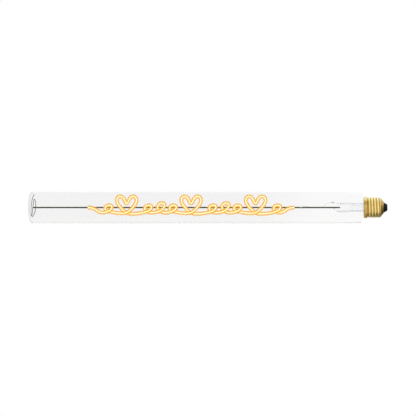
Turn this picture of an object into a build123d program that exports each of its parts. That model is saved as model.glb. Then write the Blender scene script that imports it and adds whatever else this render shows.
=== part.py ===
"""A clear tubular lamp: one long glowing strip in front of a rod, in a glass tube with a brass screw cap."""

import os
from math import cos, pi, radians, sin, sqrt, tan

from build123d import *

os.makedirs("parts", exist_ok=True)

# Glass tube along X: closed end at -X, the cap's rim plane at x = 0, the cap's tip at +X
tube_length = 420.0
tube_radius = 20.0
glass_wall = 1.2
dome_rise = 3.1
dome_corner = 5.0
shoulder_gap = 0.6
shoulder_flat = 3.2
neck_depth = 9.0

# Glass stem: flare in the neck, tube, then a pinch pressed flat across Y
stem_radius = 5.2
stem_wall = 1.0
stem_tip = -32.0
pinch_half = 2.5
pinch_height = 5.8
pinch_corner = 2.0
pinch_end = -21.0
pinch_blend = 5.0
pinch_edge = 0.5
flare_wall = 1.3
flare_fit = 0.05

# Exhaust tube in the stem, drawn off to a closed tip in the cap, and its hole in the pinch
exhaust_radius = 1.75
exhaust_bore = 1.0
exhaust_reach = 6.5
exhaust_taper = 4.0
blow_depth = 3.0

# Support rod on the axis and the two-armed spring wire across its far end
rod_radius = 0.9
rod_gap = 6.8
rod_seat = 2.5
spring_wire = 0.4
spring_foot_gap = 7.5
front_arm_gap = 6.8
back_arm_gap = 2.2
front_arm_tilt = 0.34
back_arm_tilt = 0.21
spring_lean = 0.1
spring_steps = 5

# Glowing strip: three hearts joined by curls, all in front of the rod
strip_width = 3.2
strip_end = -86.6
strand_gap = 0.5
clip_wall = 0.6
clip_length = 3.0
clip_gap = 0.4
clip_offset = 6.0
base_z = -7.2
curl_pitch = 15.5
curl_swing = 8.8
curl_slant = 0.3
curl_top = 6.5
side_curl_top = 3.5
heart_count = 3
heart_width = 23.0
heart_base = -8.5
heart_clear = 5.8
heart_room = 17.0
heart_lobe = ((0.30, 0.34), (0.56, 0.72), (0.50, 1.03), (0.20, 1.05))
heart_cleft = 0.50
heart_foot = 0.07
end_run = 7.0
end_slope = 9.2
bend_share = 0.45

# Metal end tabs of the strip
tab_thickness = 0.3
tab_height = 1.6
tab_length = 7.0
tab_bend = 1.0

# Lead wires, the crimp and the feed wire
lead_radius = 0.4
lead_bend = 1.2
lead_reach = 4.0
lead_spread = 1.8
upper_reach = 7.0
upper_height = 6.3
lower_reach = 6.5
lower_height = -3.6
crimp_radius = 0.9
crimp_length = 4.5
feed_radius = 0.25
feed_lift = 0.45
feed_gap = 0.6
feed_hump = 0.7

# Brass screw shell, 27 mm class: collar, rolled thread, tapered end
collar_length = 4.0
collar_step = 0.6
collar_lip = 0.1
thread_root = 12.1
thread_height = 1.0
thread_pitch = 3.62
thread_turns = 3.7
thread_foot = 2.8
thread_waist = 1.9
thread_flat = 0.8
thread_knee = 0.65
thread_margin = 0.1
taper_length = 3.8
shell_end_radius = 7.4
shell_wall = 0.4

# Insulator, contact and cement in the cap
insulator_seat = 3.0
insulator_rise = 4.5
insulator_tip = 4.4
insulator_fit = 0.15
contact_rim = 0.5
contact_height = 0.5
contact_edge = 0.35
shank_radius = 1.4
shank_fit = 0.05
shank_stub = 0.4
cement_wall = 0.5
cement_inset = 0.8
cement_fit = 0.05
cement_setback = 0.5

# Driver in the cap
board_size = (8.0, 1.0, 18.0)
board_gap = 2.0
board_clear = 0.85
lead_inset = 1.5
part_gap = 0.6
capacitor_radius = 2.5
capacitor_length = 7.0
rectifier_size = (4.7, 1.5, 3.8)
chip_size = (4.9, 1.6, 3.9)
fuse_radius = 1.2
fuse_length = 6.5
cap_wire_radius = 0.4
cap_wire_bend = 0.6
cap_wire_fit = 0.05

# Cap stations along X, from the rim to the tip
thread_start = collar_length + collar_step + thread_foot / 2 + thread_margin
thread_end = thread_start + thread_pitch * thread_turns + thread_foot / 2 + thread_margin
shell_end = thread_end + taper_length
insulator_inner = shell_end - insulator_seat
insulator_end = shell_end + insulator_rise
shank_end = insulator_inner - shank_stub

# Cap radii, from the thread inwards
thread_crest = thread_root + thread_height
collar_radius = thread_crest + collar_lip
shell_bore = thread_root - shell_wall
neck_radius = shell_bore - cement_wall
shell_slope = (thread_root - shell_end_radius) / taper_length
insulator_base = shell_end_radius - shell_wall * sqrt(1 + shell_slope**2) - insulator_fit

# Glass radii and stations
tube_bore = tube_radius - glass_wall
shoulder_corner = tube_radius - neck_radius - shoulder_flat
flare_radius = neck_radius - glass_wall - flare_fit
stem_bore = stem_radius - stem_wall
bore_end = pinch_end + pinch_blend
exhaust_tip = neck_depth + exhaust_reach
lead_height = (stem_bore + exhaust_radius) / 2
rod_start = -tube_length + rod_gap
rod_end = stem_tip + rod_seat
upper_tip = stem_tip - upper_reach
lower_tip = stem_tip - lower_reach
weld_height = -rod_radius - lead_radius
spread_height = lead_height + lead_spread
feed_offset = rod_radius + feed_lift + feed_radius

# Planes of the strip's strands, and the places of its hearts and curls
clip_radius = rod_radius + clip_wall
strand_shift = strip_width / 2 + strand_gap
strip_back = -clip_radius - clip_gap - strip_width / 2
strip_y = strip_back - strand_shift
strip_front = strip_y - strand_shift
feed_weld_y = strip_back + tab_thickness / 2 + feed_radius
curl_tops = (side_curl_top, curl_top, side_curl_top)
heart_top = tube_bore - heart_clear
heart_spacing = 2 * heart_room + len(curl_tops) * curl_pitch
last_heart = strip_end - end_run - end_slope - curl_pitch - heart_room
heart_places = [last_heart - step * heart_spacing for step in reversed(range(heart_count))]
first_curl = heart_places[0] - heart_room - curl_pitch
strip_start = first_curl - end_slope - end_run

# Driver planes and places
board_center_x = neck_depth + board_gap + board_size[0] / 2
board_front = exhaust_radius + board_clear
board_rear = board_front + board_size[1]
lead_turn = neck_depth + board_gap + lead_inset
capacitor_z = rectifier_size[2] / 2 + part_gap + capacitor_radius
chip_z = -rectifier_size[2] / 2 - part_gap - chip_size[2] / 2
fuse_y = board_front - fuse_radius
fuse_z = -lead_height - lead_radius - part_gap - fuse_radius
fuse_end = board_center_x + fuse_length / 2


def corner_radii(points):
    """Widest even bend at each inner corner of a route."""
    radii = []
    for before, corner, after in zip(points, points[1:], points[2:]):
        arriving = corner - before
        leaving = after - corner
        half_turn = radians(arriving.get_angle(leaving)) / 2
        radii.append(bend_share * min(arriving.length, leaving.length) / tan(half_turn))
    return radii


def section_plane(line):
    """Plane square to the start of a route, with Y across it."""
    return Plane(origin=line @ 0, x_dir=(0, 1, 0), z_dir=line % 0)


def spring_arm(side, end_gap, tilt):
    """Points of one arm, half way round the axis, from its foot beside the rod to its free end."""
    foot_radius = tube_bore - spring_foot_gap
    end_radius = tube_bore - end_gap
    points = []
    for step in range(spring_steps + 1):
        share = step / spring_steps
        radius = foot_radius + (end_radius - foot_radius) * share
        y = -side * radius * sin(pi * share)
        z = side * radius * cos(pi * share)
        points.append(Vector(rod_start - spring_wire - tilt * y + spring_lean * z, y, z))
    return points


def curl_points(first_x, top):
    """One leaning curl: its upstroke is the front strand and its downstroke the back one."""
    strand = (strip_y, strip_front, strip_front, strip_y, strip_back, strip_back)
    middle = (top + base_z) / 2
    rise = (top - base_z) / 2
    points = []
    for step, y in enumerate(strand):
        turn = step / len(strand)
        z = middle - rise * cos(2 * pi * turn)
        x = first_x + curl_pitch * turn + curl_swing * sin(2 * pi * turn) + curl_slant * (z - base_z)
        points.append(Vector(x, y, z))
    return points


def heart_points(center_x):
    """One heart: in at the point, round the right lobe in front, back round the left lobe behind."""
    height = heart_top - heart_base
    foot = heart_foot * heart_width
    points = [Vector(center_x - foot, strip_front, heart_base)]
    for across, up in heart_lobe:
        points.append(Vector(center_x + across * heart_width, strip_front, heart_base + up * height))
    points.append(Vector(center_x, strip_y, heart_base + heart_cleft * height))
    for across, up in reversed(heart_lobe):
        points.append(Vector(center_x - across * heart_width, strip_back, heart_base + up * height))
    points.append(Vector(center_x + foot, strip_back, heart_base))
    return points


# Glass tube, blown and then shelled to an even wall
with BuildPart() as glass_tube:
    with BuildSketch() as tube_outline:
        with BuildLine():
            dome_edge = (-tube_length + dome_rise, tube_radius)
            TangentArc((-tube_length, 0), dome_edge, tangent=(0, 1))
            Polyline(
                dome_edge,
                (-shoulder_gap, tube_radius),
                (-shoulder_gap, neck_radius),
                (neck_depth, neck_radius),
                (neck_depth, 0),
                (-tube_length, 0),
            )
        make_face()
        fillet(tube_outline.vertices().sort_by_distance(dome_edge)[0], dome_corner)
        fillet(tube_outline.vertices().sort_by_distance((-shoulder_gap, tube_radius))[0], shoulder_corner)
    revolve(axis=Axis.X)
    offset(amount=-glass_wall, openings=glass_tube.faces().sort_by(Axis.X)[-1])
glass_tube.part.label = "glass_tube"
export_step(glass_tube.part, "parts/glass_tube.step")

# Support rod, straight steel wire held in the pinch
with BuildPart() as support_rod:
    with BuildSketch(Plane.YZ.offset(rod_start)):
        Circle(rod_radius)
    extrude(amount=rod_end - rod_start)
support_rod.part.label = "support_rod"
export_step(support_rod.part, "parts/support_rod.step")

# Spring wire across the rod's far end: one arm over the front, one under the back
back_arm = spring_arm(-1, back_arm_gap, back_arm_tilt)
spring_route = back_arm[::-1] + spring_arm(1, front_arm_gap, front_arm_tilt)
with BuildPart() as end_spring:
    with BuildLine() as spring_line:
        FilletPolyline(*spring_route, radius=corner_radii(spring_route))
    with BuildSketch(section_plane(spring_line.line)):
        RegularPolygon(radius=spring_wire, side_count=6)
    sweep()
end_spring.part.label = "end_spring"
export_step(end_spring.part, "parts/end_spring.step")

# Glowing strip, one continuous line of curls and hearts
strip_route = [Vector(strip_start, strip_back, 0), Vector(strip_start + end_run, strip_back, 0)]
strip_route += curl_points(first_curl, side_curl_top)
for heart_x in heart_places:
    strip_route += heart_points(heart_x)
    if heart_x != last_heart:
        for number, top in enumerate(curl_tops):
            strip_route += curl_points(heart_x + heart_room + number * curl_pitch, top)
strip_route += curl_points(last_heart + heart_room, side_curl_top)
strip_route.append(Vector(strip_end - end_run - end_slope, strip_y, base_z))
strip_route += [Vector(strip_end - end_run, strip_back, 0), Vector(strip_end, strip_back, 0)]
with BuildPart() as filament:
    with BuildLine() as strip_line:
        FilletPolyline(*strip_route, radius=corner_radii(strip_route))
    with BuildSketch(section_plane(strip_line.line)):
        RegularPolygon(radius=strip_width / 2, side_count=5, major_radius=False)
    sweep()
filament.part.label = "filament"
export_step(filament.part, "parts/filament.step")

# End tabs: the far one is bent back and welded to the rod, the near one runs straight on
far_tab_route = [
    Vector(strip_start, strip_back, 0),
    Vector(strip_start - end_run / 2, strip_back, 0),
    Vector(strip_start - end_run, -rod_radius - tab_thickness / 2, 0),
    Vector(strip_start - end_run - tab_length, -rod_radius - tab_thickness / 2, 0),
]
near_tab_route = [Vector(strip_end, strip_back, 0), Vector(strip_end + tab_length, strip_back, 0)]
with BuildPart() as filament_terminals:
    with BuildLine() as far_tab_line:
        FilletPolyline(*far_tab_route, radius=tab_bend)
    with BuildSketch(section_plane(far_tab_line.line)):
        Rectangle(tab_thickness, tab_height)
    sweep()
    with BuildSketch(Plane.YZ.offset(strip_end)):
        with Locations((strip_back, 0)):
            Rectangle(tab_thickness, tab_height)
    extrude(amount=tab_length)
filament_terminals.part.label = "filament_terminals"
export_step(filament_terminals.part, "parts/filament_terminals.step")

# Silicone beads on the rod behind each heart, which the strip's back strand is stuck to
with BuildPart() as filament_clips:
    for heart_x in heart_places:
        with BuildSketch(Plane.YZ.offset(heart_x - clip_offset - clip_length / 2)):
            Circle(clip_radius)
            Circle(rod_radius, mode=Mode.SUBTRACT)
        extrude(amount=clip_length)
filament_clips.part.label = "filament_clips"
export_step(filament_clips.part, "parts/filament_clips.step")

# Upper lead: from the driver board to the pinch, which it leaves spread apart, then up to the crimp
upper_route = [
    Vector(upper_tip, 0, upper_height),
    Vector(upper_tip + lead_reach, 0, upper_height),
    Vector(stem_tip - lead_bend, 0, spread_height),
    Vector(pinch_end, 0, lead_height),
    Vector(lead_turn, 0, lead_height),
    Vector(lead_turn, board_front, lead_height),
]
with BuildPart() as lead_wire_upper:
    with BuildLine() as upper_line:
        FilletPolyline(*upper_route, radius=lead_bend)
    with BuildSketch(section_plane(upper_line.line)):
        Circle(lead_radius)
    sweep()
lead_wire_upper.part.label = "lead_wire_upper"
export_step(lead_wire_upper.part, "parts/lead_wire_upper.step")

# Lower lead: bent up to the rod at its tip and welded along it
lower_route = [
    Vector(lower_tip, 0, weld_height),
    Vector(lower_tip + lead_reach / 2, 0, weld_height),
    Vector(lower_tip + lead_reach, 0, lower_height),
    Vector(stem_tip - lead_bend, 0, -spread_height),
    Vector(pinch_end, 0, -lead_height),
    Vector(lead_turn, 0, -lead_height),
    Vector(lead_turn, board_front, -lead_height),
]
with BuildPart() as lead_wire_lower:
    with BuildLine() as lower_line:
        FilletPolyline(*lower_route, radius=lead_bend)
    with BuildSketch(section_plane(lower_line.line)):
        Circle(lead_radius)
    sweep()
lead_wire_lower.part.label = "lead_wire_lower"
export_step(lead_wire_lower.part, "parts/lead_wire_lower.step")

# Feed wire: from the crimp along the back of the rod, then over it to the back of the strip's near tab
feed_route = [
    Vector(upper_tip - feed_gap, 0, upper_height),
    Vector(upper_tip - crimp_length, 0, upper_height),
    Vector(upper_tip - 3 * crimp_length, feed_offset, 0),
    Vector(strip_end + 3 * tab_length, feed_offset, 0),
    Vector(strip_end + 2 * tab_length, 0, feed_offset + feed_hump),
    Vector(strip_end + tab_length, feed_weld_y, 0),
    Vector(strip_end + feed_gap, feed_weld_y, 0),
]
with BuildPart() as feed_wire:
    with BuildLine() as feed_line:
        FilletPolyline(*feed_route, radius=lead_bend)
    with BuildSketch(section_plane(feed_line.line)):
        Circle(feed_radius)
    sweep()
feed_wire.part.label = "feed_wire"
export_step(feed_wire.part, "parts/feed_wire.step")

# Crimp sleeve squeezed over the lead's end and the feed wire's
with BuildPart() as lead_crimp:
    with BuildSketch(Plane.YZ.offset(upper_tip - crimp_length / 2)):
        with Locations((0, upper_height)):
            Circle(crimp_radius)
    extrude(amount=crimp_length)
    add(lead_wire_upper.part, mode=Mode.SUBTRACT)
    add(feed_wire.part, mode=Mode.SUBTRACT)
lead_crimp.part.label = "lead_crimp"
export_step(lead_crimp.part, "parts/lead_crimp.step")

# Glass stem: turned tube and flare, pressed flat and wide at the pinch, sealed round its wires
with BuildPart() as glass_stem:
    with BuildSketch():
        with BuildLine():
            Polyline(
                (bore_end, stem_bore),
                (bore_end, stem_radius),
                (0, stem_radius),
                (neck_depth, flare_radius),
                (neck_depth, flare_radius - flare_wall),
                (0, stem_bore),
                close=True,
            )
        make_face()
    revolve(axis=Axis.X)
    with BuildSketch(Plane.YZ.offset(pinch_end)) as pinch_section:
        RectangleRounded(2 * pinch_half, 2 * pinch_height, pinch_corner)
    with BuildSketch(Plane.YZ.offset(bore_end)):
        Circle(stem_radius)
    loft()
    extrude(pinch_section.sketch, amount=stem_tip - pinch_end)
    fillet(glass_stem.faces().sort_by(Axis.X)[0].edges(), pinch_edge)
    with BuildSketch(Plane.YZ.offset(bore_end - blow_depth)):
        Circle(exhaust_bore)
    extrude(amount=blow_depth, mode=Mode.SUBTRACT)
    with BuildSketch(Plane.XZ):
        with Locations((bore_end - blow_depth, 0)):
            Circle(exhaust_bore)
    extrude(amount=stem_radius, mode=Mode.SUBTRACT)
    add(support_rod.part, mode=Mode.SUBTRACT)
    add(lead_wire_upper.part, mode=Mode.SUBTRACT)
    add(lead_wire_lower.part, mode=Mode.SUBTRACT)
glass_stem.part.label = "glass_stem"
export_step(glass_stem.part, "parts/glass_stem.step")

# Exhaust tube, fused to the stem's bore and melted shut at its tip
with BuildPart() as exhaust_tube:
    with BuildSketch():
        with BuildLine():
            Polyline(
                (bore_end, exhaust_bore),
                (bore_end, exhaust_radius),
                (exhaust_tip - exhaust_taper, exhaust_radius),
                (exhaust_tip, 0),
                (exhaust_tip - exhaust_taper, 0),
                (exhaust_tip - exhaust_taper, exhaust_bore),
                close=True,
            )
        make_face()
    revolve(axis=Axis.X)
exhaust_tube.part.label = "exhaust_tube"
export_step(exhaust_tube.part, "parts/exhaust_tube.step")

# Screw shell: drawn sheet with a rolled right-hand thread
with BuildPart() as screw_shell:
    with BuildSketch():
        with BuildLine():
            Polyline(
                (0, 0),
                (0, collar_radius),
                (collar_length, collar_radius),
                (collar_length + collar_step, thread_root),
                (thread_end, thread_root),
                (shell_end, shell_end_radius),
                (shell_end, 0),
                close=True,
            )
        make_face()
    revolve(axis=Axis.X)
    shell_ends = screw_shell.faces().filter_by(Axis.X)
    offset(amount=-shell_wall, openings=[shell_ends.sort_by(Axis.X)[0], shell_ends.sort_by(Axis.X)[-1]])
    with BuildLine() as thread_line:
        Helix(
            pitch=thread_pitch,
            height=thread_pitch * thread_turns,
            radius=thread_root,
            center=(thread_start, 0, 0),
            direction=(1, 0, 0),
        )
    thread_radial = thread_line.line @ 0 - Vector(thread_start, 0, 0)
    with BuildSketch(Plane(thread_line.line @ 0, x_dir=thread_radial, z_dir=thread_line.line % 0)):
        with BuildLine():
            Polyline(
                (-shell_wall / 2, -thread_foot / 2),
                (thread_height * thread_knee, -thread_waist / 2),
                (thread_height, -thread_flat / 2),
                (thread_height, thread_flat / 2),
                (thread_height * thread_knee, thread_waist / 2),
                (-shell_wall / 2, thread_foot / 2),
                close=True,
            )
        make_face()
    sweep(path=thread_line.line, is_frenet=True)
screw_shell.part.label = "screw_shell"
export_step(screw_shell.part, "parts/screw_shell.step")

# Insulator: black glass moulded into the shell's open end
with BuildPart() as cap_insulator:
    with BuildSketch():
        with BuildLine():
            Polyline(
                (insulator_inner, shank_radius + shank_fit),
                (insulator_inner, insulator_base + shell_slope * (shell_end - insulator_inner)),
                (shell_end, insulator_base),
                (insulator_end, insulator_tip),
                (insulator_end, shank_radius + shank_fit),
                close=True,
            )
        make_face()
    revolve(axis=Axis.X)
cap_insulator.part.label = "cap_insulator"
export_step(cap_insulator.part, "parts/cap_insulator.step")

# Centre contact: a rivet whose shank passes through the insulator
with BuildPart() as centre_contact:
    with BuildSketch(Plane.YZ.offset(shank_end)):
        Circle(shank_radius)
    extrude(amount=insulator_end - shank_end)
    with BuildSketch(Plane.YZ.offset(insulator_end)):
        Circle(insulator_tip - contact_rim)
    extrude(amount=contact_height)
    chamfer(centre_contact.faces().sort_by(Axis.X)[-1].edges(), contact_edge)
centre_contact.part.label = "centre_contact"
export_step(centre_contact.part, "parts/centre_contact.step")

# Cement ring between the neck and the shell
collar_bore = collar_radius - shell_wall - cement_fit
root_bore = shell_bore - cement_fit
cement_end = neck_depth - cement_setback
with BuildPart() as cap_cement:
    with BuildSketch():
        with BuildLine():
            Polyline(
                (cement_inset, neck_radius),
                (cement_inset, collar_bore),
                (collar_length - shell_wall, collar_bore),
                (collar_length - shell_wall + collar_step, root_bore),
                (cement_end, root_bore),
                (cement_end, neck_radius),
                close=True,
            )
        make_face()
    revolve(axis=Axis.X)
cap_cement.part.label = "cap_cement"
export_step(cap_cement.part, "parts/cap_cement.step")

# Driver board, standing in the cap beside the exhaust tube
with BuildPart() as driver_board:
    with Locations((board_center_x, board_front + board_size[1] / 2, 0)):
        Box(*board_size)
driver_board.part.label = "driver_board"
export_step(driver_board.part, "parts/driver_board.step")

# Bridge rectifier and driver chip on the board's rear face
with BuildPart() as bridge_rectifier:
    with Locations((board_center_x, board_rear + rectifier_size[1] / 2, 0)):
        Box(*rectifier_size)
bridge_rectifier.part.label = "bridge_rectifier"
export_step(bridge_rectifier.part, "parts/bridge_rectifier.step")

with BuildPart() as driver_chip:
    with Locations((board_center_x, board_rear + chip_size[1] / 2, chip_z)):
        Box(*chip_size)
driver_chip.part.label = "driver_chip"
export_step(driver_chip.part, "parts/driver_chip.step")

# Smoothing capacitor, a small can lying on the rear face
with BuildPart() as smoothing_capacitor:
    with BuildSketch(Plane.YZ.offset(board_center_x - capacitor_length / 2)):
        with Locations((board_rear + capacitor_radius, capacitor_z)):
            Circle(capacitor_radius)
    extrude(amount=capacitor_length)
smoothing_capacitor.part.label = "smoothing_capacitor"
export_step(smoothing_capacitor.part, "parts/smoothing_capacitor.step")

# Fuse resistor on the front face, in the live line
with BuildPart() as fuse_resistor:
    with BuildSketch(Plane.YZ.offset(board_center_x - fuse_length / 2)):
        with Locations((fuse_y, fuse_z)):
            Circle(fuse_radius)
    extrude(amount=fuse_length)
fuse_resistor.part.label = "fuse_resistor"
export_step(fuse_resistor.part, "parts/fuse_resistor.step")

# Live wire: from the fuse resistor to the contact's shank
live_turn = (fuse_end + shank_end) / 2
live_route = [
    Vector(fuse_end, fuse_y, fuse_z),
    Vector(live_turn, fuse_y, fuse_z),
    Vector(live_turn, 0, 0),
    Vector(shank_end, 0, 0),
]
with BuildPart() as live_wire:
    with BuildLine() as live_line:
        FilletPolyline(*live_route, radius=cap_wire_bend)
    with BuildSketch(section_plane(live_line.line)):
        Circle(cap_wire_radius)
    sweep()
live_wire.part.label = "live_wire"
export_step(live_wire.part, "parts/live_wire.step")

# Neutral wire: from the board's top edge to the shell's wall
neutral_y = board_front + board_size[1] / 2
neutral_reach = sqrt((shell_bore - cap_wire_fit) ** 2 - (neutral_y + cap_wire_radius) ** 2)
with BuildPart() as neutral_wire:
    with BuildSketch(Plane.XY.offset(board_size[2] / 2)):
        with Locations((board_center_x, neutral_y)):
            Circle(cap_wire_radius)
    extrude(amount=neutral_reach - board_size[2] / 2)
neutral_wire.part.label = "neutral_wire"
export_step(neutral_wire.part, "parts/neutral_wire.step")
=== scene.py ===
from math import atan2, cos, degrees, hypot, pi, radians, sin, sqrt

import bmesh
import bpy
from mathutils import Matrix, Vector


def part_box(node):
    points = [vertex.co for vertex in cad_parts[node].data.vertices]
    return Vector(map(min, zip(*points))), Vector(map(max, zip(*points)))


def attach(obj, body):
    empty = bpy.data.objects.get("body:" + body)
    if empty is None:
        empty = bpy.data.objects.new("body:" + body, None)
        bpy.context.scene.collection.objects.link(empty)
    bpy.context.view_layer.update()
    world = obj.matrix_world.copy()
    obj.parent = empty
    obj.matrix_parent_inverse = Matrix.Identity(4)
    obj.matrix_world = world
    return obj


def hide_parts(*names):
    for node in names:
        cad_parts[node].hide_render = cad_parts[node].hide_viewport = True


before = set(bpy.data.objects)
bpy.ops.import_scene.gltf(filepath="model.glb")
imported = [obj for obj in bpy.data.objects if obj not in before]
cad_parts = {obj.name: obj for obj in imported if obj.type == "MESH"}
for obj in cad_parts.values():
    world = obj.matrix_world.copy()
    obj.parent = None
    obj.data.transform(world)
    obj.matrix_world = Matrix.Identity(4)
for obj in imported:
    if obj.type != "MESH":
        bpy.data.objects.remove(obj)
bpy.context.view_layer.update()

# Studio: a white sheet of floor that runs out to an even white room, with one very broad soft box overhead.
# The camera stands level with the lamp, far off behind a long lens, as for a catalogue picture, and a pixel
# of its square picture is 1.25 mm at the lamp.
mm = 0.001
picture_width = 520 * mm
picture_centre = Vector((-194.7 * mm, 0, -0.6 * mm))
camera_distance = 8.0
sensor_width = 36
white = (1, 1, 1, 1)
tube_low, tube_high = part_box("glass_tube")
floor_level = tube_low.z - 0.1 * mm
scene = bpy.context.scene
scene.view_settings.view_transform = "Standard"


class Shade:
    """A shader socket that joins in Python expressions: each operator adds one Math node."""

    def __init__(self, tree, socket=None):
        self.tree = tree
        self.socket = socket

    def add(self, kind, settings, sockets, out=0):
        """Any other node: its type, its settings, then the values or links of its sockets."""
        node = self.tree.nodes.new("ShaderNode" + kind)
        for name, value in settings.items():
            setattr(node, name, value)
        for name, value in sockets.items():
            if isinstance(value, Shade):
                self.tree.links.new(value.socket, node.inputs[name])
            else:
                node.inputs[name].default_value = value
        return Shade(self.tree, node.outputs[out] if node.outputs else None)

    def math(self, operation, first, second):
        return self.add("Math", {"operation": operation}, {0: first, 1: second})

    def __add__(self, other):
        return self.math("ADD", self, other)

    def __radd__(self, other):
        return self.math("ADD", other, self)

    def __sub__(self, other):
        return self.math("SUBTRACT", self, other)

    def __rsub__(self, other):
        return self.math("SUBTRACT", other, self)

    def __mul__(self, other):
        return self.math("MULTIPLY", self, other)

    def __rmul__(self, other):
        return self.math("MULTIPLY", other, self)

    def clamped(self):
        return self.add("Clamp", {}, {"Value": self})

    def noise(self, scale, detail, stretch=(1, 1, 1)):
        """Noise on the piece's own coordinates, in metres, drawn out along an axis by a small stretch."""
        place = self.add("TexCoord", {}, {}, out="Object")
        place = self.add("Mapping", {}, {"Vector": place, "Scale": stretch})
        return self.add("TexNoise", {}, {"Vector": place, "Scale": scale, "Detail": detail})

    def blend(self, share, first, second):
        """A colour part way from the first to the second."""
        sockets = {"Factor": share, 6: first, 7: second}
        return self.add("Mix", {"data_type": "RGBA"}, sockets, out=2)

    def bump(self, height, strength, distance):
        sockets = {"Strength": strength, "Distance": distance, "Height": height}
        return self.add("Bump", {}, sockets)

    def surface(self, shader):
        self.add("OutputMaterial", {}, {"Surface": shader})


def new_material(name):
    """An empty material and the wrapper that fills its node tree."""
    material = bpy.data.materials.new(name)
    material.use_nodes = True
    material.node_tree.nodes.clear()
    return material, Shade(material.node_tree)


def seen_directly(shade):
    """One for what the camera sees, straight or in metal and glass, and nought for light on matt surfaces."""
    camera = shade.add("LightPath", {}, {}, out="Is Camera Ray")
    glossy = shade.add("LightPath", {}, {}, out="Is Glossy Ray")
    through = shade.add("LightPath", {}, {}, out="Is Transmission Ray")
    return (camera + glossy + through).clamped()


camera = bpy.data.objects.new("camera", bpy.data.cameras.new("camera"))
camera.data.sensor_width = sensor_width
camera.data.lens = sensor_width * camera_distance / picture_width
camera.location = picture_centre - Vector((0, camera_distance, 0))
camera.rotation_euler = (pi / 2, 0, 0)
scene.collection.objects.link(camera)
scene.camera = camera

room_light = 0.65
room = bpy.data.worlds.new("white_room")
room.use_nodes = True
room.node_tree.nodes.clear()
room_shade = Shade(room.node_tree)
room_strength = room_light + (1 - room_light) * seen_directly(room_shade)
room_sockets = {"Color": white, "Strength": room_strength}
room_shade.add("OutputWorld", {}, {"Surface": room_shade.add("Background", {}, room_sockets)})
scene.world = room

floor_size = 3.0
floor_paint = (0.9, 0.9, 0.89, 1)
floor_paint_pale = (0.93, 0.93, 0.93, 1)
floor_lift = 0.275
floor_material, shade = new_material("white_floor")
grain = shade.noise(scale=40, detail=3)
floor_colour = shade.blend(grain, floor_paint, floor_paint_pale)
matt = shade.add("BsdfDiffuse", {}, {"Color": floor_colour})
lit = shade.add("Emission", {}, {"Color": white, "Strength": seen_directly(shade) * floor_lift})
shade.surface(shade.add("AddShader", {}, {0: matt, 1: lit}))
bm = bmesh.new()
bmesh.ops.create_grid(bm, x_segments=1, y_segments=1, size=floor_size / 2)
bmesh.ops.translate(bm, verts=bm.verts, vec=(picture_centre.x, 0, floor_level))
floor_mesh = bpy.data.meshes.new("floor")
bm.to_mesh(floor_mesh)
bm.free()
floor_mesh.materials.append(floor_material)
floor = bpy.data.objects.new("floor", floor_mesh)
scene.collection.objects.link(floor)

overhead_width = 8
overhead_power = 60
overhead_place = Vector((0, -1, 4))
overhead = bpy.data.objects.new("overhead_box", bpy.data.lights.new("overhead_box", "AREA"))
overhead.data.shape = "RECTANGLE"
overhead.data.size = overhead_width
overhead.data.size_y = overhead_width
overhead.data.energy = overhead_power
overhead.location = picture_centre + overhead_place
overhead.visible_glossy = False
scene.collection.objects.link(overhead)

# Cards round the cap: two bright cards give the brass its glints, one of them as blue as a sky, and three
# grey ones its depth. They show in reflections only, and stand near the cap, so that the long tube hardly
# mirrors them. Each has a place, the x of the axis point that it faces, a size, a colour and a strength.
sky_white = (0.55, 0.72, 1, 1)
cap_middle = 12 * mm
cap_cards = (
    ("glint_card_over", (cap_middle, 40 * mm, 110 * mm), cap_middle, (140 * mm, 60 * mm), sky_white, 2.7),
    ("glint_card_front", (cap_middle, -300 * mm, 10 * mm), cap_middle, (150 * mm, 90 * mm), white, 1.35),
    ("grey_card_upper", (cap_middle, -80 * mm, 89 * mm), cap_middle, (60 * mm, 60 * mm), white, 0.8),
    ("dark_card_end", (42 * mm, 12 * mm, -18 * mm), cap_middle, (66 * mm, 44 * mm), white, 0.15),
    ("dark_card_under", (25 * mm, 0, -19.8 * mm), 25 * mm, (46 * mm, 26 * mm), white, 0.35),
)
for name, place, aim, size, colour, strength in cap_cards:
    card_material, shade = new_material(name)
    shade.surface(shade.add("Emission", {}, {"Color": colour, "Strength": strength}))
    bm = bmesh.new()
    bmesh.ops.create_grid(bm, x_segments=1, y_segments=1, size=0.5)
    bmesh.ops.scale(bm, verts=bm.verts, vec=(*size, 1))
    facing = (Vector((aim, 0, 0)) - Vector(place)).to_track_quat("Z", "X").to_matrix()
    bmesh.ops.transform(bm, verts=bm.verts, matrix=Matrix.Translation(place) @ facing.to_4x4())
    card_mesh = bpy.data.meshes.new(name)
    bm.to_mesh(card_mesh)
    bm.free()
    card_mesh.materials.append(card_material)
    card = bpy.data.objects.new(name, card_mesh)
    card.visible_camera = False
    card.visible_diffuse = False
    card.visible_transmission = False
    card.visible_shadow = False
    scene.collection.objects.link(card)

# Glass tube: one clear blown envelope, nearly flat at its closed end, with an abrupt shoulder and a narrow
# neck that is cemented into the cap. The wall has faint streaks from drawing, the glass is a shade greyer
# towards the closed end, and the shoulder hardly bends what lies behind it.
tube_radius = tube_high.z
glass_wall = 1.2 * mm
dome_rise = 3.1 * mm
dome_corner = 5 * mm
shoulder_x = -0.6 * mm
shoulder_corner = 5.6 * mm
neck_radius = 11.2 * mm
neck_root = 0.9 * mm
glass_tint_far = (0.938, 0.94, 0.938, 1)
glass_tint_near = (0.972, 0.974, 0.972, 1)
tint_start = -130 * mm
tint_run = 70 * mm
tint_span = 0.8
tint_base = 0.1
streak_depth = 0.4
wall_bending = 1.05
shoulder_bending = 1.0
lamplight_share = 0.98
wall_mirror_share = 0.96
end_mirror_share = 0.8


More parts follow.
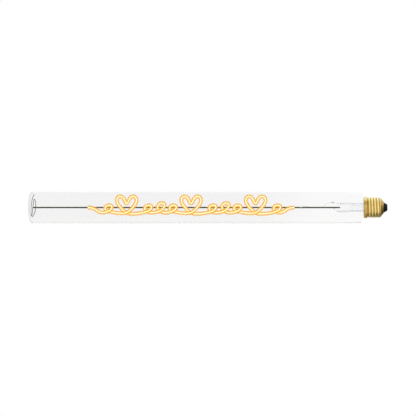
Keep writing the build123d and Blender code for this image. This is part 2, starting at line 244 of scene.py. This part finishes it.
def bend(centre, radius, start, stop, steps=12):
    """Points of a round stretch of an outline, between two angles in degrees."""
    turns = [radians(start + (stop - start) * step / steps) for step in range(steps + 1)]
    return [(centre[0] + radius * cos(turn), centre[1] + radius * sin(turn)) for turn in turns]


def lathe(name, outline, steps=96, closed=True, crease=35):
    """A piece turned round the X axis from an outline of (x, radius) points."""
    bm = bmesh.new()
    ring = [bm.verts.new((x, radius, 0)) for x, radius in outline]
    pairs = list(zip(ring, ring[1:] + ring[:1]))
    edges = [bm.edges.new(pair) for pair in (pairs if closed else pairs[:-1])]
    spun = {"geom": ring + edges, "cent": (0, 0, 0), "axis": (1, 0, 0), "angle": 2 * pi, "steps": steps}
    bmesh.ops.spin(bm, use_merge=True, **spun)
    bmesh.ops.remove_doubles(bm, verts=bm.verts, dist=0.002 * mm)
    bmesh.ops.recalc_face_normals(bm, faces=bm.faces)
    return finished(name, bm, crease)


def finished(name, bm, crease):
    """Turns a bmesh into an object at the origin, smooth but for its creases."""
    mesh = bpy.data.meshes.new(name)
    bm.to_mesh(mesh)
    bm.free()
    mesh.shade_smooth()
    mesh.set_sharp_from_angle(angle=radians(crease))
    piece = bpy.data.objects.new(name, mesh)
    scene.collection.objects.link(piece)
    return piece


def dress(piece, material, slot, *nodes):
    """Gives a new piece its material and its place in the frame."""
    piece.data.materials.append(material)
    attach(piece, "root")
    if nodes:
        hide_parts(*nodes)


def wall_line(inset):
    """The envelope's outline from the closed end to the neck's rim, moved into the wall by an inset."""
    dome_radius = (tube_radius**2 + dome_rise**2) / (2 * dome_rise)
    dome_x = tube_low.x + dome_radius
    corner_r = tube_radius - dome_corner
    corner_x = dome_x - sqrt((dome_radius - dome_corner) ** 2 - corner_r**2)
    dome_end = degrees(atan2(corner_r, corner_x - dome_x))
    line = bend((dome_x, 0), dome_radius - inset, 180, dome_end)
    line += bend((corner_x, corner_r), dome_corner - inset, dome_end, 90)
    shoulder = (shoulder_x - shoulder_corner, tube_radius - shoulder_corner)
    line += bend(shoulder, shoulder_corner - inset, 90, 0)
    line += bend((shoulder_x + neck_root, neck_radius + neck_root), neck_root + inset, 180, 270)
    return line + [(tube_high.x, neck_radius - inset)]


def clear_glass(name, tint, bending, mirror_share):
    """Clear glass that lets lamplight through to what is inside; tint is the function that gives its colour.

    Light that was mirrored in the glass goes straight on, dimmed to a share, so that none is trapped in the
    wall.
    """
    material, shade = new_material(name)
    glass = {
        "Base Color": tint(shade),
        "Roughness": 0.0,
        "IOR": bending,
        "Transmission Weight": 1.0,
    }
    shader = shade.add("BsdfPrincipled", {}, glass)
    shares = {"Reflection": mirror_share, "Shadow": lamplight_share, "Diffuse": lamplight_share}
    for light, share in shares.items():
        passing = shade.add("LightPath", {}, {}, out=f"Is {light} Ray")
        clear = shade.add("BsdfTransparent", {}, {"Color": (share, share, share, 1)})
        shader = shade.add("MixShader", {}, {"Fac": passing, 1: shader, 2: clear})
    shade.surface(shader)
    return material


def tube_tint(shade):
    """A grey shade that clears towards the cap, with faint streaks from drawing."""
    place = shade.add("TexCoord", {}, {}, out="Object")
    along = shade.add("SeparateXYZ", {}, {"Vector": place}, out="X")
    streaks = shade.noise(scale=260, detail=2, stretch=(0.02, 1, 1))
    clearing = ((along - tint_start) * (1 / tint_run)).clamped()
    share = clearing * tint_span + streaks * streak_depth - tint_base
    return shade.blend(share, glass_tint_far, glass_tint_near)


glass_tube = lathe("tube_glass", wall_line(0) + wall_line(glass_wall)[::-1], steps=160)
wall_glass = clear_glass("tube_glass", tube_tint, wall_bending, wall_mirror_share)
dress(glass_tube, wall_glass, "clear_glass", "glass_tube")
shoulder_glass = clear_glass("shoulder_glass", tube_tint, shoulder_bending, wall_mirror_share)
glass_tube.data.materials.append(shoulder_glass)
end_glass = clear_glass("end_glass", tube_tint, wall_bending, end_mirror_share)
glass_tube.data.materials.append(end_glass)
for face in glass_tube.data.polygons:
    if face.center.x > shoulder_x - shoulder_corner / 2:
        face.material_index = 1
    elif face.center.x < tube_low.x + dome_rise + dome_corner:
        face.material_index = 2

# Glass stem: a flared glass tube whose inner end was heated and pressed flat round the rod and the two leads,
# with a narrow exhaust tube fused inside it. The flare is melted to the neck of the envelope.
stem_low, stem_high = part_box("glass_stem")
stem_radius = 5.2 * mm
stem_bore = 4.2 * mm
bore_end = -16 * mm
flare_start = 0 * mm
flare_radius = 9.95 * mm
flare_wall = 1.3 * mm
pinch_half = 2.5 * mm
pinch_height = 5.8 * mm
pinch_end = -21 * mm
pinch_edge = 0.5 * mm
press_rings = 8
ripple_depth = 0.25 * mm
ripple_length = 1.1 * mm
ripple_height = 1.3 * mm
# Painted shade: the stem's glass is greyed where it is seen edge-on and along its top and bottom rims.
rim_start = 4.5 * mm
rim_run = 0.7 * mm
rim_shade_share = 0.25
edge_start = 0.4
edge_gain = 2
edge_shade_grey = (0.1, 0.1, 0.1, 1)
cloud_grey = (0.96, 0.96, 0.96, 1)
bore_grey = (0.97, 0.97, 0.97, 1)
stem_bending = 1.15
bore_bending = 1.05
stem_outside = bend((stem_low.x + pinch_edge, stem_radius - pinch_edge), pinch_edge, 180, 90, 6)
for step in range(press_rings + 1):
    stem_outside.append((pinch_end + (bore_end - pinch_end) * step / press_rings, stem_radius))
stem_outside += [(flare_start, stem_radius), (stem_high.x, flare_radius)]
stem_inside = [(stem_high.x, flare_radius - flare_wall), (flare_start, stem_bore)]
stem_inside += bend((bore_end + stem_bore, 0), stem_bore, 90, 180, 8)
stem_line = [(stem_low.x, 0)] + stem_outside + stem_inside
glass_stem = lathe("stem_glass", stem_line, steps=96, closed=False, crease=25)
for vert in glass_stem.data.vertices:
    along = min(max((bore_end - vert.co.x) / (bore_end - pinch_end), 0), 1)
    pressed = along * along * (3 - 2 * along)
    flat = max(abs(vert.co.y) - pinch_half, 0) * pressed
    vert.co.y -= flat if vert.co.y > 0 else -flat
    vert.co.z *= 1 + pressed * (pinch_height / stem_radius - 1)
    ripple = ripple_depth * sin(vert.co.x / ripple_length) * sin(vert.co.z / ripple_height)
    vert.co.y += ripple * pressed


def edge_shade_tint(shade):
    """Cloudy patches, and painted shade that greys the glass seen edge-on and at its top and bottom."""
    cloud = shade.noise(scale=260, detail=3)
    facing = shade.add("LayerWeight", {}, {"Blend": 0.5}, out="Facing")
    place = shade.add("TexCoord", {}, {}, out="Object")
    height = shade.add("SeparateXYZ", {}, {"Vector": place}, out="Z")
    rim = (shade.math("ABSOLUTE", height, 0) - rim_start) * (1 / rim_run)
    # The painted edge shade, from how edge-on the glass is seen and from how near it lies to the top or
    # bottom.
    share = ((facing - edge_start) * edge_gain).clamped() + rim.clamped() * rim_shade_share
    body = shade.blend(cloud, cloud_grey, white)
    return shade.blend(share.clamped(), body, edge_shade_grey)


def plain_tint(shade):
    """Nearly white, with faint clouds."""
    return shade.blend(shade.noise(scale=260, detail=3), bore_grey, white)


stem_glass = clear_glass("stem_glass", edge_shade_tint, stem_bending, lamplight_share)
dress(glass_stem, stem_glass, "clear_glass", "glass_stem")
bore_glass = clear_glass("bore_glass", plain_tint, bore_bending, lamplight_share)
glass_stem.data.materials.append(bore_glass)
for face in glass_stem.data.polygons:
    inward = face.normal.y * face.center.y + face.normal.z * face.center.z < 0
    face.material_index = 1 if inward else 0

exhaust_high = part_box("exhaust_tube")[1]
exhaust_radius = exhaust_high.z
exhaust_bore = 1.0 * mm
exhaust_taper = 4 * mm
exhaust_tip = 0.6 * mm
exhaust_line = [(bore_end, exhaust_bore), (bore_end, exhaust_radius)]
exhaust_line += [(exhaust_high.x - exhaust_taper, exhaust_radius)]
exhaust_line += bend((exhaust_high.x - exhaust_tip, 0), exhaust_tip, 60, 0, 6)
exhaust_line += bend((exhaust_high.x - exhaust_taper, 0), exhaust_bore, 0, 90, 6)
exhaust_tube = lathe("exhaust_glass", exhaust_line, steps=48)
dress(exhaust_tube, bore_glass, "clear_glass", "exhaust_tube")

# Support rod: a straight length of dark drawn steel wire on the axis, its end sealed in the pinch of the
# stem. Drawing leaves fine lines along it, and heat from the sealing leaves it dull and brownish.
rod_dark = (0.07, 0.066, 0.048, 1)
rod_pale = (0.12, 0.114, 0.09, 1)
rod_steel, shade = new_material("rod_steel")
lines = shade.noise(scale=2200, detail=2, stretch=(0.02, 1, 1))
patches = shade.noise(scale=45, detail=3)
drawn_steel = {
    "Base Color": shade.blend(patches, rod_dark, rod_pale),
    "Metallic": 1.0,
    "Roughness": 0.32 + 0.2 * lines,
    "Normal": shade.bump(lines, strength=0.15, distance=0.02 * mm),
}
shade.surface(shade.add("BsdfPrincipled", {}, drawn_steel))
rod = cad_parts["support_rod"]
rod.data.materials.clear()
rod.data.materials.append(rod_steel)

# End spring: one bent spring wire welded across the rod's far end. One arm goes over the front and the
# other under the back, so that the rod stays in the middle of the glass. Each arm has a side, a gap between
# its free end and the glass, and a tilt.
rod_low, rod_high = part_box("support_rod")
tube_bore = tube_radius - glass_wall
spring_wire = 0.4 * mm
spring_foot_gap = 7.5 * mm
spring_arms = ((-1, 2.2 * mm, 0.21), (1, 6.8 * mm, 0.34))
spring_lean = 0.1
spring_steps = 5
spring_dark = (0.08, 0.08, 0.08, 1)
spring_bright = (0.16, 0.16, 0.16, 1)


def wire(name, points, radius, resolution=8, sides=4):
    """A round wire along a smooth line that has the route's points as its control points."""
    curve = bpy.data.curves.new(name, "CURVE")
    curve.dimensions = "3D"
    line = curve.splines.new("NURBS")
    line.points.add(len(points) - 1)
    for control, point in zip(line.points, points):
        control.co = (*point, 1)
    line.order_u = 3
    line.use_endpoint_u = True
    line.resolution_u = resolution
    curve.bevel_depth = radius
    curve.bevel_resolution = sides
    curve.use_fill_caps = True
    bent = bpy.data.objects.new(name + "_line", curve)
    mesh = bpy.data.meshes.new_from_object(bent)
    mesh.name = name
    bpy.data.objects.remove(bent)
    mesh.materials.clear()
    mesh.shade_smooth()
    piece = bpy.data.objects.new(name, mesh)
    scene.collection.objects.link(piece)
    return piece


def spring_arm(side, end_gap, tilt):
    """Points of one arm, half way round the axis, from its foot beside the rod to its free end."""
    points = []
    for step in range(spring_steps + 1):
        share = step / spring_steps
        radius = tube_bore - spring_foot_gap + (spring_foot_gap - end_gap) * share
        y = -side * radius * sin(pi * share)
        z = side * radius * cos(pi * share)
        points.append((rod_low.x - spring_wire - tilt * y + spring_lean * z, y, z))
    return points


def plated_wire(name, dark, bright):
    """Drawn and plated wire, a little uneven in colour and polish."""
    material, shade = new_material(name)
    patches = shade.noise(scale=350, detail=3)
    plate = {
        "Base Color": shade.blend(patches, dark, bright),
        "Metallic": 1.0,
        "Roughness": 0.2 + 0.25 * patches,
        "Normal": shade.bump(shade.noise(scale=2500, detail=2), strength=0.1, distance=0.02 * mm),
    }
    shade.surface(shade.add("BsdfPrincipled", {}, plate))
    return material


spring_points = spring_arm(*spring_arms[0])[::-1] + spring_arm(*spring_arms[1])
spring_steel = plated_wire("spring_steel", spring_dark, spring_bright)
dress(wire("spring_wire", spring_points, spring_wire), spring_steel, "lead_wire", "end_spring")

# Glowing strip: one long flexible circuit of tiny lights in amber silicone, bent in front of the rod into
# three hearts joined by leaning curls. The core shines pale yellow, the dense amber coat round it glows too,
# and a clearer outer shell glows as a painted halo of light. Its light is kept off the floor and the other
# pieces, which stay neutral.
strip_width = 3.2 * mm
strip_end = -86.6 * mm
clip_radius = 1.5 * mm
clip_gap = 0.4 * mm
strand_shift = 2.1 * mm
strip_back = -clip_radius - clip_gap - strip_width / 2
strip_y = strip_back - strand_shift
strip_front = strip_y - strand_shift
base_z = -7.2 * mm
curl_pitch = 15.5 * mm
curl_swing = 8.8 * mm
curl_slant = 0.3
curl_top = 6.5 * mm
side_curl_top = 3.5 * mm
curl_tops = (side_curl_top, curl_top, side_curl_top)
heart_width = 23 * mm
heart_base = -8.5 * mm
heart_top = 13 * mm
heart_room = 17 * mm
# A lobe's control points, the cleft and the foot are shares of the heart's width and height.
heart_lobe = ((0.30, 0.34), (0.56, 0.72), (0.50, 1.03), (0.20, 1.05))
heart_cleft = 0.50
heart_foot = 0.07
end_run = 7 * mm
end_slope = 9.2 * mm
heart_spacing = 2 * heart_room + len(curl_tops) * curl_pitch
last_heart = strip_end - end_run - end_slope - curl_pitch - heart_room
heart_places = [last_heart - step * heart_spacing for step in (2, 1, 0)]
first_curl = heart_places[0] - heart_room - curl_pitch
strip_start = first_curl - end_slope - end_run


def curl_points(first_x, top):
    """One leaning curl: its upstroke is the front strand and its downstroke the back one."""
    strand = (strip_y, strip_front, strip_front, strip_y, strip_back, strip_back)
    middle = (top + base_z) / 2
    rise = (top - base_z) / 2
    points = []
    for step, y in enumerate(strand):
        turn = step / len(strand)
        z = middle - rise * cos(2 * pi * turn)
        x = first_x + curl_pitch * turn + curl_swing * sin(2 * pi * turn) + curl_slant * (z - base_z)
        points.append((x, y, z))
    return points


def heart_points(center_x):
    """One heart: in at the point, round the right lobe in front, back round the left lobe behind."""
    height = heart_top - heart_base
    foot = heart_foot * heart_width
    points = [(center_x - foot, strip_front, heart_base)]
    for across, up in heart_lobe:
        points.append((center_x + across * heart_width, strip_front, heart_base + up * height))
    points.append((center_x, strip_y, heart_base + heart_cleft * height))
    for across, up in reversed(heart_lobe):
        points.append((center_x - across * heart_width, strip_back, heart_base + up * height))
    points.append((center_x + foot, strip_back, heart_base))
    return points


strip_route = [(strip_start, strip_back, 0), (strip_start + end_run, strip_back, 0)]
strip_route += curl_points(first_curl, side_curl_top)
for heart_x in heart_places:
    strip_route += heart_points(heart_x)
    if heart_x != last_heart:
        for number, top in enumerate(curl_tops):
            strip_route += curl_points(heart_x + heart_room + number * curl_pitch, top)
strip_route += curl_points(last_heart + heart_room, side_curl_top)
strip_route.append((strip_end - end_run - end_slope, strip_y, base_z))
strip_route += [(strip_end - end_run, strip_back, 0), (strip_end, strip_back, 0)]


def glowing(name, deep, pale, strength, cover):
    """A layer of the strip that shines by itself; cover is how much it hides of what lies behind it."""
    material, shade = new_material(name)
    chips = shade.noise(scale=420, detail=2)
    colour = shade.blend(chips, deep, pale)
    layer = {
        "Base Color": (0, 0, 0, 1),
        "Roughness": 0.45,
        "Specular IOR Level": 0.0,
        "Emission Color": colour,
        "Emission Strength": strength,
        "Alpha": cover,
        "Normal": shade.bump(chips, strength=0.1, distance=0.1 * mm),
    }
    shade.surface(shade.add("BsdfPrincipled", {}, layer))
    return material


# Each layer has a radius, two colours, a strength of light and a cover.
strip_layers = (
    ("strip_core", 0.65 * mm, (0.95, 0.84, 0.62, 1), (1.0, 0.92, 0.72, 1), 3.2, 1.0),
    ("strip_coat", 1.6 * mm, (0.92, 0.31, 0.0, 1), (1.0, 0.38, 0.0, 1), 1.0, 0.4),
    # The outer shell is a painted glow: it stands for the halo of light round the strip.
    ("strip_glow_halo", 2.7 * mm, (0.95, 0.46, 0.0, 1), (1.0, 0.52, 0.01, 1), 1.0, 0.44),
)
for name, radius, deep, pale, strength, cover in strip_layers:
    layer = wire(name, strip_route, radius, resolution=6)
    nodes = ("filament",) if name == "strip_coat" else ()
    dress(layer, glowing(name, deep, pale, strength, cover), "glow", *nodes)
    layer.visible_diffuse = False
    layer.visible_glossy = False

# Leads: two bright nickel-plated wires sealed in the pinch. The upper one ends in a crimp, from which a thin
# feed wire runs behind the rod to the strip's near tab; the lower one is bent up and welded to the rod.
lead_radius = 0.4 * mm
lead_height = 2.975 * mm
lead_bend = 1.2 * mm
lead_turn = 12.5 * mm
lead_reach = 4 * mm
spread_height = 4.775 * mm
upper_tip = -39 * mm
upper_height = 6.3 * mm
lower_tip = -38.5 * mm
lower_height = -3.6 * mm
board_front = 2.6 * mm
crimp_length = 4.5 * mm
feed_radius = 0.25 * mm
feed_offset = 1.6 * mm
feed_gap = 0.6 * mm
feed_hump = 0.7 * mm
tab_length = 7 * mm
tab_thickness = 0.3 * mm
lead_dark = (0.8, 0.8, 0.79, 1)
lead_bright = (0.93, 0.93, 0.92, 1)
crimp_dark = (0.62, 0.62, 0.61, 1)
crimp_bright = (0.78, 0.78, 0.76, 1)
rod_radius = rod_high.z
weld_height = -rod_radius - lead_radius
feed_weld_y = strip_back + tab_thickness / 2 + feed_radius
upper_route = [
    (upper_tip, 0, upper_height),
    (upper_tip + lead_reach, 0, upper_height),
    (stem_low.x - lead_bend, 0, spread_height),
    (pinch_end, 0, lead_height),
    (lead_turn - lead_bend, 0, lead_height),
    (lead_turn, 0, lead_height),
    (lead_turn, board_front, lead_height),
]
lower_route = [
    (lower_tip, 0, weld_height),
    (lower_tip + lead_reach / 2, 0, weld_height),
    (lower_tip + lead_reach, 0, lower_height),
    (stem_low.x - lead_bend, 0, -spread_height),
    (pinch_end, 0, -lead_height),
    (lead_turn - lead_bend, 0, -lead_height),
    (lead_turn, 0, -lead_height),
    (lead_turn, board_front, -lead_height),
]
feed_route = [
    (upper_tip - feed_gap, 0, upper_height),
    (upper_tip - crimp_length, 0, upper_height),
    (upper_tip - 3 * crimp_length, feed_offset, 0),
    (strip_end + 3 * tab_length, feed_offset, 0),
    (strip_end + 2 * tab_length, 0, feed_offset + feed_hump),
    (strip_end + tab_length, feed_weld_y, 0),
    (strip_end + feed_gap, feed_weld_y, 0),
]
lead_nickel = plated_wire("lead_nickel", lead_dark, lead_bright)
dress(wire("upper_lead", upper_route, lead_radius), lead_nickel, "lead_wire", "lead_wire_upper")
dress(wire("lower_lead", lower_route, lead_radius), lead_nickel, "lead_wire", "lead_wire_lower")
dress(wire("feed_lead", feed_route, feed_radius), lead_nickel, "lead_wire", "feed_wire")
crimp_nickel = plated_wire("crimp_nickel", crimp_dark, crimp_bright)
for name, metal in (("lead_crimp", crimp_nickel), ("filament_terminals", rod_steel)):
    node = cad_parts[name]
    node.data.materials.clear()
    node.data.materials.append(metal)

# Beads: three small collars of milky silicone on the rod, one behind each heart. The strip is stuck to them,
# which keeps it in front of the bare rod.
bead_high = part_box("filament_clips")[1]
bead_half = 1.5 * mm
bead_offset = 6 * mm
bead_edge = 0.25 * mm
bead_deep = (0.8, 0.66, 0.42, 1)
bead_pale = (0.9, 0.8, 0.6, 1)
bead_silicone, shade = new_material("bead_silicone")
cloud = shade.noise(scale=500, detail=3)
milky = {
    "Base Color": shade.blend(cloud, bead_deep, bead_pale),
    "Roughness": 0.4 + 0.2 * cloud,
    "Normal": shade.bump(cloud, strength=0.2, distance=0.05 * mm),
}
shade.surface(shade.add("BsdfPrincipled", {}, milky))
for number, heart_x in enumerate(heart_places):
    middle = heart_x - bead_offset
    left = (middle - bead_half + bead_edge, bead_high.z - bead_edge)
    right = (middle + bead_half - bead_edge, bead_high.z - bead_edge)
    bead_line = [(middle - bead_half, rod_radius)] + bend(left, bead_edge, 180, 90, 5)
    bead_line += bend(right, bead_edge, 90, 0, 5) + [(middle + bead_half, rod_radius)]
    bead = lathe(f"strip_bead_{number + 1}", bead_line, steps=32)
    dress(bead, bead_silicone, "bead_silicone", "filament_clips")

# Screw shell: thin brass sheet, drawn to a cup with a plain collar and a tapered end, then rolled to the
# round thread of the 27 mm lamp cap. The crests stay bright, and painted shade turns the grooves browner.
shell_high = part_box("screw_shell")[1]
collar_radius = shell_high.z
collar_length = 4 * mm
collar_step = 0.6 * mm
collar_edge = 0.25 * mm
thread_root = 12.1 * mm
thread_height = 1.0 * mm
thread_pitch = 3.62 * mm
thread_turns = 3.7
thread_runout = 1.5 * mm
thread_fade = 1.7 * mm
thread_first = collar_length + collar_step
thread_start = thread_first + thread_runout
thread_last = thread_start + thread_turns * thread_pitch + thread_runout
shell_end = shell_high.x
shell_end_radius = 7.4 * mm
shell_wall = 0.4 * mm
thread_rings = 90
# Painted shade for the plain collar and the taper, set amounts of the same browning that the grooves get.
collar_shade = 0.7
taper_shade = 0.75
groove_width = 1.3
brass_deep = (0.9, 0.72, 0.27, 1)
brass_pale = (0.98, 0.83, 0.36, 1)
groove_shade_brown = (0.4, 0.21, 0.03, 1)
shell_line = [(0, collar_radius - 2 * collar_edge)]
shell_line += bend((collar_edge, collar_radius - collar_edge), collar_edge, 180, 90, 5)
shell_line += [(collar_length, collar_radius), (collar_length + collar_step, thread_root)]
thread_span = thread_last - thread_first
for step in range(1, thread_rings + 1):
    shell_line.append((thread_first + thread_span * step / thread_rings, thread_root))
shell_line += [(shell_end - collar_edge, shell_end_radius + collar_edge), (shell_end, shell_end_radius)]
screw_shell = lathe("brass_shell", shell_line, steps=120, closed=False, crease=50)
# The groove value is painted shade: the deeper a point lies in a groove, the browner the brass is painted.
groove_shade = screw_shell.data.attributes.new("groove_shade", "FLOAT", "POINT")
for vert in screw_shell.data.vertices:
    x, y, z = vert.co
    inside = min(x - thread_first, thread_last - x) / thread_fade
    full = min(max(inside, 0), 1)
    turn = (x - thread_start) / thread_pitch - (atan2(z, y) - pi / 2) / (2 * pi)
    crest = (1 + cos(2 * pi * turn)) / 2
    lift = thread_height * crest * full * full * (3 - 2 * full)
    radius = hypot(y, z)
    vert.co = (x, y * (radius + lift) / radius, z * (radius + lift) / radius)
    # Painted shade also browns the plain collar and the taper, each by a set amount.
    plain = collar_shade if x < thread_first else taper_shade
    groove_shade.data[vert.index].value = (1 - crest) ** groove_width if full > 0 else plain
sheet = screw_shell.modifiers.new("sheet", "SOLIDIFY")
sheet.thickness = shell_wall
sheet.offset = -1

rolled_brass, shade = new_material("rolled_brass")
# Painted shade: the groove value blends the brass towards a shade brown.
groove_shade_share = shade.add("Attribute", {"attribute_name": "groove_shade"}, {}, out="Fac")
tarnish = shade.noise(scale=180, detail=4)
lines = shade.noise(scale=900, detail=2, stretch=(1, 0.08, 0.08))
clean_brass = shade.blend(tarnish, brass_deep, brass_pale)
brass = {
    "Base Color": shade.blend(groove_shade_share, clean_brass, groove_shade_brown),
    "Metallic": 1.0,
    "Roughness": 0.14 + 0.12 * tarnish + 0.06 * groove_shade_share,
    "Normal": shade.bump(lines, strength=0.06, distance=0.03 * mm),
}
shade.surface(shade.add("BsdfPrincipled", {}, brass))
dress(screw_shell, rolled_brass, "brass", "screw_shell")

# Insulator: black glass poured hot into the shell's open end, where it sets round the contact's shank. It is
# glossy, and slightly rounded at its tip.
insulator_low, insulator_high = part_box("cap_insulator")
insulator_base = 6.61 * mm
insulator_tip = 4.4 * mm
insulator_edge = 0.6 * mm
shank_hole = 1.45 * mm
black_deep = (0.003, 0.003, 0.004, 1)
black_pale = (0.009, 0.009, 0.012, 1)
shell_slope = (thread_root - shell_end_radius) / (shell_end - thread_last)
insulator_line = [(insulator_low.x, shank_hole)]
insulator_line += [(insulator_low.x, insulator_base + shell_slope * (shell_end - insulator_low.x))]
insulator_line += [(shell_end, insulator_base)]
insulator_rim = (insulator_high.x - insulator_edge, insulator_tip - insulator_edge)
insulator_line += bend(insulator_rim, insulator_edge, 40, 0, 6)
insulator_line += [(insulator_high.x, shank_hole)]
cap_insulator = lathe("black_insulator", insulator_line, steps=96)
black_glass, shade = new_material("black_glass")
swirl = shade.noise(scale=220, detail=3)
poured = {
    "Base Color": shade.blend(swirl, black_deep, black_pale),
    "Roughness": 0.18 + 0.15 * swirl,
    "Specular IOR Level": 0.1,
    "Normal": shade.bump(swirl, strength=0.15, distance=0.1 * mm),
}
shade.surface(shade.add("BsdfPrincipled", {}, poured))
dress(cap_insulator, black_glass, "black_glass", "cap_insulator")

# Centre contact: a tinned brass rivet whose shank goes through the insulator. Its low head is lapped with a
# little solder.
contact_low, contact_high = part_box("centre_contact")
contact_radius = contact_high.z
contact_edge = 0.3 * mm
shank_radius = 1.4 * mm
solder_rise = 0.15 * mm
solder_foot = 1.8 * mm
solder_top = 1.2 * mm
tin_dull = (0.48, 0.48, 0.46, 1)
tin_bright = (0.66, 0.66, 0.64, 1)
contact_line = [(contact_low.x, 0), (contact_low.x, shank_radius), (insulator_high.x, shank_radius)]
contact_line += [(insulator_high.x, contact_radius)]
contact_rim = (contact_high.x - contact_edge - solder_rise, contact_radius - contact_edge)
contact_line += bend(contact_rim, contact_edge, 90, 0, 6)
contact_line += [(contact_high.x - solder_rise, solder_foot), (contact_high.x, solder_top)]
contact_line += [(contact_high.x, 0)]
centre_contact = lathe("contact_rivet", contact_line, steps=64, closed=False)
contact_tin, shade = new_material("contact_tin")
dull = shade.noise(scale=400, detail=4)
tin = {
    "Base Color": shade.blend(dull, tin_dull, tin_bright),
    "Metallic": 1.0,
    "Roughness": 0.25 + 0.25 * dull,
    "Normal": shade.bump(dull, strength=0.25, distance=0.05 * mm),
}
shade.surface(shade.add("BsdfPrincipled", {}, tin))
dress(centre_contact, contact_tin, "contact_tin", "centre_contact")

# Inside the cap: a ring of cement that fixes the neck, and a small driver with its parts and wires. They show
# only dimly through the neck, so the solids stay as they are and just get their finishes: two colours, how
# metallic and how rough they are, and the scale of their grain.
inner_finishes = {
    "cap_cement": ((0.62, 0.58, 0.5, 1), (0.74, 0.7, 0.62, 1), 0.0, 0.9, 700),
    "driver_board": ((0.02, 0.1, 0.05, 1), (0.03, 0.15, 0.07, 1), 0.0, 0.4, 900),
    "bridge_rectifier": ((0.02, 0.02, 0.02, 1), (0.04, 0.04, 0.04, 1), 0.0, 0.5, 1500),
    "driver_chip": ((0.02, 0.02, 0.02, 1), (0.04, 0.04, 0.04, 1), 0.0, 0.5, 1500),
    "smoothing_capacitor": ((0.5, 0.5, 0.52, 1), (0.62, 0.62, 0.64, 1), 1.0, 0.35, 800),
    "fuse_resistor": ((0.1, 0.22, 0.28, 1), (0.15, 0.3, 0.36, 1), 0.0, 0.3, 800),
    "live_wire": ((0.65, 0.65, 0.63, 1), (0.75, 0.75, 0.73, 1), 0.0, 0.5, 800),
    "neutral_wire": ((0.65, 0.65, 0.63, 1), (0.75, 0.75, 0.73, 1), 0.0, 0.5, 800),
}
for name, (deep, pale, metal, roughness, scale) in inner_finishes.items():
    material, shade = new_material(name + "_finish")
    grain = shade.noise(scale, detail=3)
    finish = {
        "Base Color": shade.blend(grain, deep, pale),
        "Metallic": metal,
        "Roughness": roughness * (0.8 + 0.3 * grain),
        "Normal": shade.bump(grain, strength=0.15, distance=0.05 * mm),
    }
    shade.surface(shade.add("BsdfPrincipled", {}, finish))
    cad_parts[name].data.materials.clear()
    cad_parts[name].data.materials.append(material)
